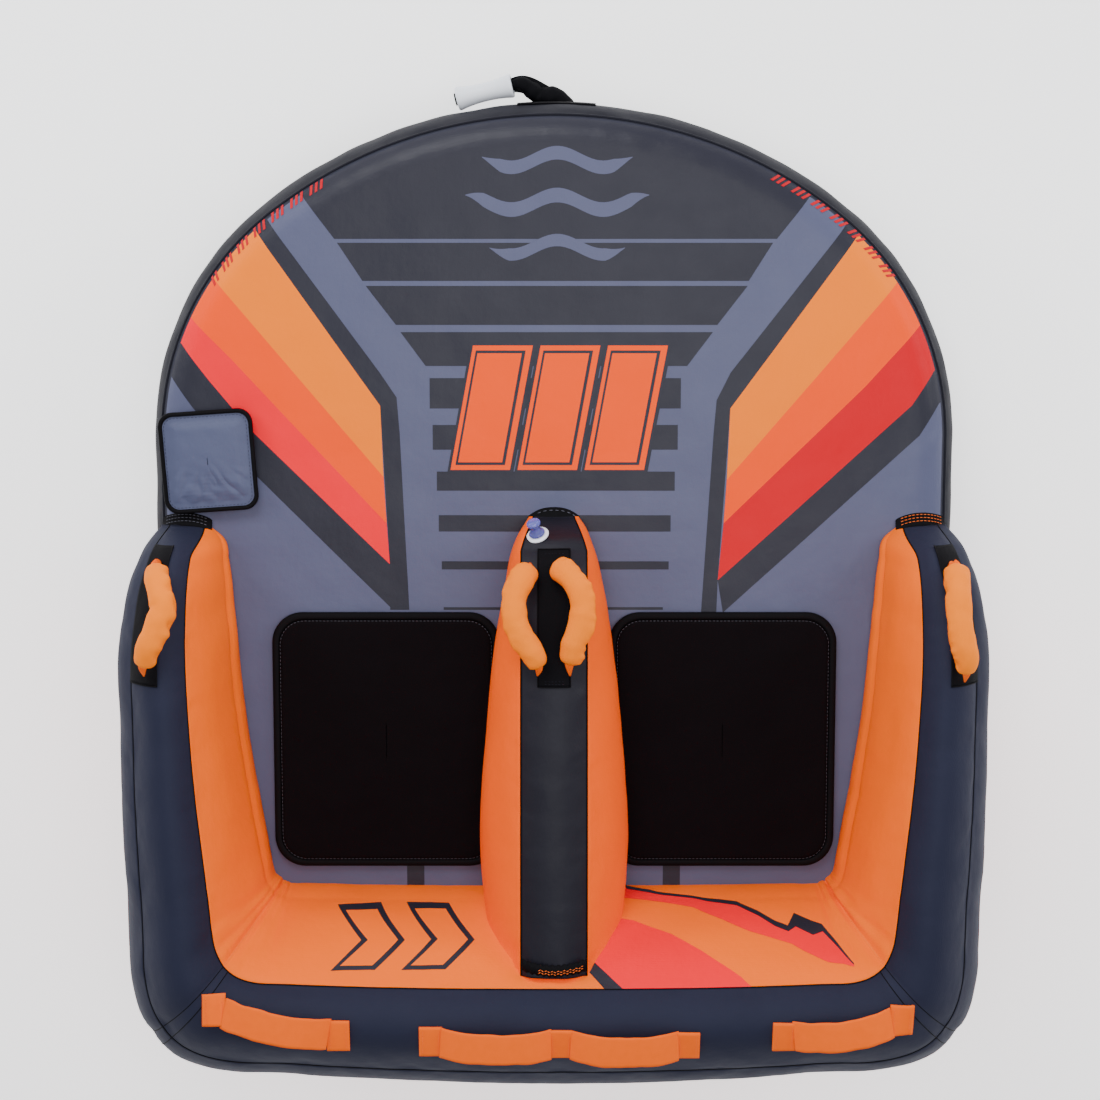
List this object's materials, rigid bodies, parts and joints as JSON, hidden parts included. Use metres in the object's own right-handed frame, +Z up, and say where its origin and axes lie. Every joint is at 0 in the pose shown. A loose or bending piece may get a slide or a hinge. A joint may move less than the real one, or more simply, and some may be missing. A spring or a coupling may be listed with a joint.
{
  "type": "towable tube",
  "caption": "Two-rider inflatable towable tube with a D-shaped deck, U-shaped backrest and armrests, divider, padded handles and a tow loop.",
  "frame": {"origin": "centre of the footprint on the floor", "axes": "+Z up from the deck's flat bottom, +Y the tow direction, +X the riders' right"},
  "size_m": [1.5482, 1.8167, 0.617],
  "materials": {
    "cover_charcoal": "satin",
    "cover_orange": "satin",
    "webbing_orange": "matte",
    "webbing_black": "matte",
    "grip_orange": "matte",
    "neoprene_black": "matte",
    "trim_black": "matte",
    "flap_grey": "satin",
    "bladder_vinyl": "satin",
    "valve_white": "satin",
    "valve_clear": "gloss",
    "zipper_black": "satin"
  },
  "bodies": {
    "tube": {"deck_top_panel": "cover_charcoal", "deck_side_band": "cover_charcoal", "deck_bottom_panel": "cover_charcoal", "deck_edge_piping": "trim_black", "deck_bladder": "bladder_vinyl", "deck_bladder_baffles": "bladder_vinyl", "backrest_inner_panel": "cover_orange", "backrest_outer_panel": "cover_charcoal", "backrest_top_panel": "cover_charcoal", "backrest_bladder": "bladder_vinyl", "divider_left_panel": "cover_orange", "divider_right_panel": "cover_orange", "divider_top_panel": "cover_charcoal", "divider_bladder": "bladder_vinyl", "left_arm_hem": "trim_black", "right_arm_hem": "trim_black", "divider_front_hem": "trim_black", "divider_valve_flange": "valve_white", "deck_valve_flange": "valve_white", "deck_valve_insert": "valve_white", "left_seat_pad": "neoprene_black", "right_seat_pad": "neoprene_black", "left_seat_pad_binding": "trim_black", "right_seat_pad_binding": "trim_black", "divider_handle_patch": "webbing_black", "left_arm_handle_patch": "webbing_black", "right_arm_handle_patch": "webbing_black", "rear_handle_tabs": "webbing_orange", "tow_patch": "webbing_black", "zipper_tape": "zipper_black", "left_arm_inner_panel": "cover_orange", "left_arm_outer_panel": "cover_charcoal", "left_arm_top_panel": "cover_charcoal", "left_arm_bladder": "bladder_vinyl", "right_arm_inner_panel": "cover_orange", "right_arm_outer_panel": "cover_charcoal", "right_arm_top_panel": "cover_charcoal", "right_arm_bladder": "bladder_vinyl"},
    "divider_left_handle": {"divider_left_handle_strap": "webbing_orange", "divider_left_handle_grip": "grip_orange"},
    "divider_right_handle": {"divider_right_handle_strap": "webbing_orange", "divider_right_handle_grip": "grip_orange"},
    "left_arm_handle": {"left_arm_handle_strap": "webbing_orange", "left_arm_handle_grip": "grip_orange"},
    "right_arm_handle": {"right_arm_handle_strap": "webbing_orange", "right_arm_handle_grip": "grip_orange"},
    "valve_flap": {"valve_flap_panel": "flap_grey", "valve_flap_binding": "trim_black"},
    "divider_plug": {"divider_valve_plug": "valve_clear"},
    "deck_valve_cap_body": {"deck_valve_cap": "valve_white"},
    "tow_loop": {"tow_strap": "webbing_black"},
    "tow_sleeve_body": {"tow_sleeve": "valve_white"},
    "zip_slider": {"zipper_slider": "zipper_black"},
    "zip_pull": {"zipper_pull": "zipper_black"},
    "rear_left_loop_body": {"rear_left_loop": "webbing_orange"},
    "rear_centre_left_loop_body": {"rear_centre_left_loop": "webbing_orange"},
    "rear_centre_right_loop_body": {"rear_centre_right_loop": "webbing_orange"},
    "rear_right_loop_body": {"rear_right_loop": "webbing_orange"}
  },
  "joints": [
    {"name": "divider_left_handle_swing", "type": "hinge", "parent": "tube", "child": "divider_left_handle", "pos_m": [-0.0335, -0.047, 0.452], "axis": [-0.0334, 0.9453, -0.3246], "range_deg": [-8, 75]},
    {"name": "divider_right_handle_swing", "type": "hinge", "parent": "tube", "child": "divider_right_handle", "pos_m": [0.031, -0.043, 0.452], "axis": [0.0552, -0.9482, 0.313], "range_deg": [-8, 75]},
    {"name": "left_arm_handle_swing", "type": "hinge", "parent": "tube", "child": "left_arm_handle", "pos_m": [-0.696, -0.039, 0.47], "axis": [-0.0366, -0.8688, 0.4938], "range_deg": [-5, 80]},
    {"name": "right_arm_handle_swing", "type": "hinge", "parent": "tube", "child": "right_arm_handle", "pos_m": [0.706, -0.044, 0.471], "axis": [-0.0185, 0.8709, -0.4911], "range_deg": [-5, 80]},
    {"name": "rear_left_loop_swing", "type": "hinge", "parent": "tube", "child": "rear_left_loop_body", "pos_m": [-0.484, -0.75164, 0.58489], "axis": [0.979, -0.2039, -0.0017], "range_deg": [-20, 20]},
    {"name": "rear_centre_left_loop_swing", "type": "hinge", "parent": "tube", "child": "rear_centre_left_loop_body", "pos_m": [-0.1015, -0.78954, 0.58252], "axis": [0.9996, -0.0264, -0.0021], "range_deg": [-28, 28]},
    {"name": "rear_centre_right_loop_swing", "type": "hinge", "parent": "tube", "child": "rear_centre_right_loop_body", "pos_m": [0.123, -0.79419, 0.58079], "axis": [0.9999, -0.009, -0.0114], "range_deg": [-28, 28]},
    {"name": "rear_right_loop_swing", "type": "hinge", "parent": "tube", "child": "rear_right_loop_body", "pos_m": [0.503, -0.76224, 0.58521], "axis": [0.99, 0.1407, 0.0098], "range_deg": [-28, 28]},
    {"name": "valve_flap_lift", "type": "hinge", "parent": "tube", "child": "valve_flap", "pos_m": [-0.5442, 0.2216, 0.2535], "axis": [-0.0698, 0.9976, 0], "range_deg": [0, 110]},
    {"name": "divider_plug_pull", "type": "slide", "parent": "tube", "child": "divider_plug", "axis": [-0.2601, 0.8003, 0.5402], "range_m": [0, 0.045]},
    {"name": "deck_valve_cap_turn", "type": "hinge", "parent": "tube", "child": "deck_valve_cap_body", "pos_m": [-0.614, 0.216, 0.244], "axis": [0, 0, 1], "range_deg": [0, 90]},
    {"name": "tow_loop_swing", "type": "hinge", "parent": "tube", "child": "tow_loop", "pos_m": [0.026, 0.876, 0.12], "axis": [0, 0, -1], "range_deg": [0, 85]},
    {"name": "tow_sleeve_spin", "type": "hinge", "parent": "tow_loop", "child": "tow_sleeve_body", "pos_m": [-0.1265, 0.88, 0.122], "axis": [-0.97, -0.2305, -0.0768], "continuous": true},
    {"name": "zipper_slide", "type": "slide", "parent": "tube", "child": "zip_slider", "axis": [1, 0, 0], "range_m": [0, 0.95]},
    {"name": "zipper_pull_swing", "type": "hinge", "parent": "zip_slider", "child": "zip_pull", "pos_m": [-0.478, -0.8719, 0.1145], "axis": [-1, 0, 0], "range_deg": [0, 40]}
  ]
}
